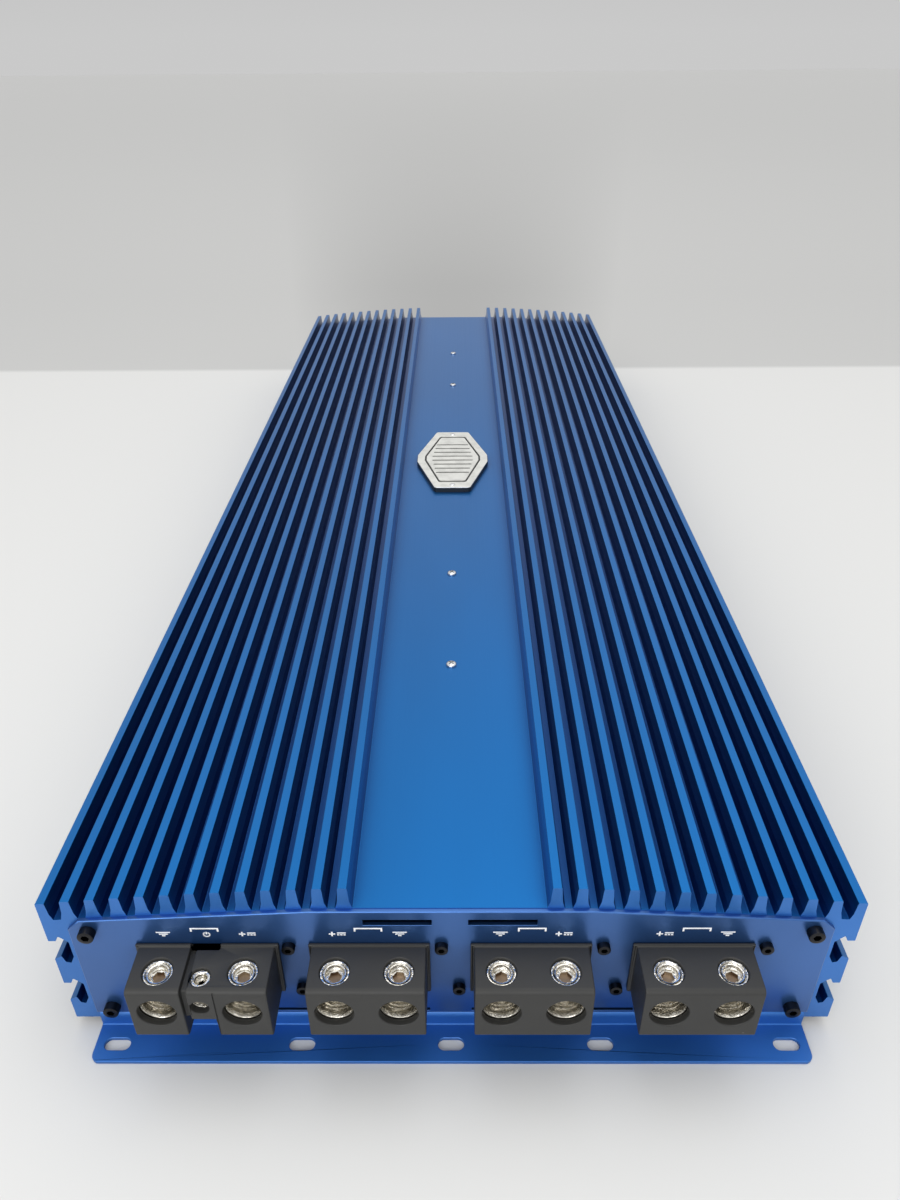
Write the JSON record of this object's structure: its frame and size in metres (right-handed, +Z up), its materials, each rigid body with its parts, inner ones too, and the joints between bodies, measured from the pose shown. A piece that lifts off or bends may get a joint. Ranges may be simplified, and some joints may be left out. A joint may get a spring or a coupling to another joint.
{
  "type": "car amplifier",
  "caption": "Long finned heatsink car amplifier with screw-clamp power blocks, control panel and two slotted mounting feet.",
  "frame": {"origin": "on the surface the amplifier stands on, under the middle of the case", "axes": "+Z up, +Y along the length from the power terminals to the controls, +X to the right when facing the power terminals"},
  "size_m": [0.275, 0.77, 0.0732],
  "materials": {
    "anodised_case": "blue anodised, satin, fine extrusion lines along its length",
    "end_plate": "blue anodised sheet, fine satin",
    "black_sheet": "black powder coat",
    "black_screws": "black oxide",
    "bright_screws": "bright zinc",
    "badge_metal": "brushed, with a dark edge",
    "terminal_plastic": "fine moulded texture",
    "knob_plastic": "satin moulding",
    "nickel_plate": "nickel plate over brass",
    "copper": "tinned copper edge",
    "potentiometer_metal": "plated steel",
    "jack_plastic": "white moulding",
    "lamp": "clear red resin",
    "circuit_board": "green solder mask",
    "ferrite": "epoxy-coated ferrite",
    "enamelled_wire": "enamelled copper wire",
    "capacitor_sleeve": "shrink sleeve",
    "transistor_epoxy": "moulded epoxy",
    "thermal_pad": "silicone sheet",
    "steel_bar": "bare steel"
  },
  "bodies": {
    "root": {"heatsink": "anodised_case", "bottom_plate": "black_sheet", "power_bracket": "anodised_case", "control_bracket": "anodised_case", "power_end_plate": "end_plate", "control_end_plate": "end_plate", "end_plate_screws": "black_screws", "bottom_plate_screws": "black_screws", "bracket_screws": "black_screws", "terminal_screws": "black_screws", "strip_screws": "bright_screws", "badge_plate": "badge_metal", "badge_rivets": "bright_screws", "remote_power_block": "terminal_plastic", "power_block_left": "terminal_plastic", "power_block_right": "terminal_plastic", "power_block_outer": "terminal_plastic", "speaker_block_left": "terminal_plastic", "speaker_block_right": "terminal_plastic", "wire_clamps": "nickel_plate", "ground_bus": "copper", "plus_bus": "copper", "bus_nuts": "bright_screws", "potentiometers": "potentiometer_metal", "input_jack_shells": "nickel_plate", "input_jack_cores": "jack_plastic", "phase_switch_body": "potentiometer_metal", "remote_jack": "terminal_plastic", "status_leds": "lamp", "control_board": "circuit_board", "main_board": "circuit_board", "centre_standoffs": "bright_screws", "board_screws": "bright_screws", "transformer_cores": "ferrite", "transformer_windings": "enamelled_wire", "supply_capacitors": "capacitor_sleeve", "rail_capacitors": "capacitor_sleeve", "output_inductors": "enamelled_wire", "transistors": "transistor_epoxy", "thermal_pads": "thermal_pad", "clamp_bars": "steel_bar", "clamp_screws": "bright_screws"},
    "set_screw_1": {"set_screw_1": "nickel_plate"},
    "set_screw_2": {"set_screw_2": "nickel_plate"},
    "set_screw_3": {"set_screw_3": "nickel_plate"},
    "set_screw_4": {"set_screw_4": "nickel_plate"},
    "set_screw_5": {"set_screw_5": "nickel_plate"},
    "set_screw_6": {"set_screw_6": "nickel_plate"},
    "set_screw_7": {"set_screw_7": "nickel_plate"},
    "set_screw_8": {"set_screw_8": "nickel_plate"},
    "remote_set_screw": {"remote_set_screw": "nickel_plate"},
    "speaker_set_screw_1": {"speaker_set_screw_1": "nickel_plate"},
    "speaker_set_screw_2": {"speaker_set_screw_2": "nickel_plate"},
    "speaker_set_screw_3": {"speaker_set_screw_3": "nickel_plate"},
    "speaker_set_screw_4": {"speaker_set_screw_4": "nickel_plate"},
    "phase_switch_lever": {"phase_switch_lever": "knob_plastic"},
    "gain_knob": {"gain_knob": "knob_plastic"},
    "low_pass_knob": {"low_pass_knob": "knob_plastic"},
    "subsonic_knob": {"subsonic_knob": "knob_plastic"},
    "bass_knob": {"bass_knob": "knob_plastic"}
  },
  "joints": [
    {"name": "set_screw_1_wind", "type": "slide", "parent": "root", "child": "set_screw_1", "axis": [0, 0, -1], "range_m": [0, 0.009]},
    {"name": "set_screw_2_wind", "type": "slide", "parent": "root", "child": "set_screw_2", "axis": [0, 0, -1], "range_m": [0, 0.009]},
    {"name": "set_screw_3_wind", "type": "slide", "parent": "root", "child": "set_screw_3", "axis": [0, 0, -1], "range_m": [0, 0.009]},
    {"name": "set_screw_4_wind", "type": "slide", "parent": "root", "child": "set_screw_4", "axis": [0, 0, -1], "range_m": [0, 0.009]},
    {"name": "set_screw_5_wind", "type": "slide", "parent": "root", "child": "set_screw_5", "axis": [0, 0, -1], "range_m": [0, 0.009]},
    {"name": "set_screw_6_wind", "type": "slide", "parent": "root", "child": "set_screw_6", "axis": [0, 0, -1], "range_m": [0, 0.009]},
    {"name": "set_screw_7_wind", "type": "slide", "parent": "root", "child": "set_screw_7", "axis": [0, 0, -1], "range_m": [0, 0.009]},
    {"name": "set_screw_8_wind", "type": "slide", "parent": "root", "child": "set_screw_8", "axis": [0, 0, -1], "range_m": [0, 0.009]},
    {"name": "remote_set_screw_wind", "type": "slide", "parent": "root", "child": "remote_set_screw", "axis": [0, 0, -1], "range_m": [0, 0.004]},
    {"name": "speaker_set_screw_1_wind", "type": "slide", "parent": "root", "child": "speaker_set_screw_1", "axis": [0, 0, -1], "range_m": [0, 0.009]},
    {"name": "speaker_set_screw_2_wind", "type": "slide", "parent": "root", "child": "speaker_set_screw_2", "axis": [0, 0, -1], "range_m": [0, 0.009]},
    {"name": "speaker_set_screw_3_wind", "type": "slide", "parent": "root", "child": "speaker_set_screw_3", "axis": [0, 0, -1], "range_m": [0, 0.009]},
    {"name": "speaker_set_screw_4_wind", "type": "slide", "parent": "root", "child": "speaker_set_screw_4", "axis": [0, 0, -1], "range_m": [0, 0.009]},
    {"name": "phase_switch_slide", "type": "slide", "parent": "root", "child": "phase_switch_lever", "axis": [-1, 0, 0], "range_m": [0, 0.003]},
    {"name": "gain_knob_turn", "type": "hinge", "parent": "root", "child": "gain_knob", "pos_m": [-0.022, 0.372, 0.0456], "axis": [0, -1, 0], "range_deg": [-135, 135]},
    {"name": "low_pass_knob_turn", "type": "hinge", "parent": "root", "child": "low_pass_knob", "pos_m": [-0.043, 0.372, 0.0456], "axis": [0, -1, 0], "range_deg": [-135, 135]},
    {"name": "subsonic_knob_turn", "type": "hinge", "parent": "root", "child": "subsonic_knob", "pos_m": [-0.064, 0.372, 0.0456], "axis": [0, -1, 0], "range_deg": [-135, 135]},
    {"name": "bass_knob_turn", "type": "hinge", "parent": "root", "child": "bass_knob", "pos_m": [-0.085, 0.372, 0.0456], "axis": [0, -1, 0], "range_deg": [-135, 135]}
  ]
}
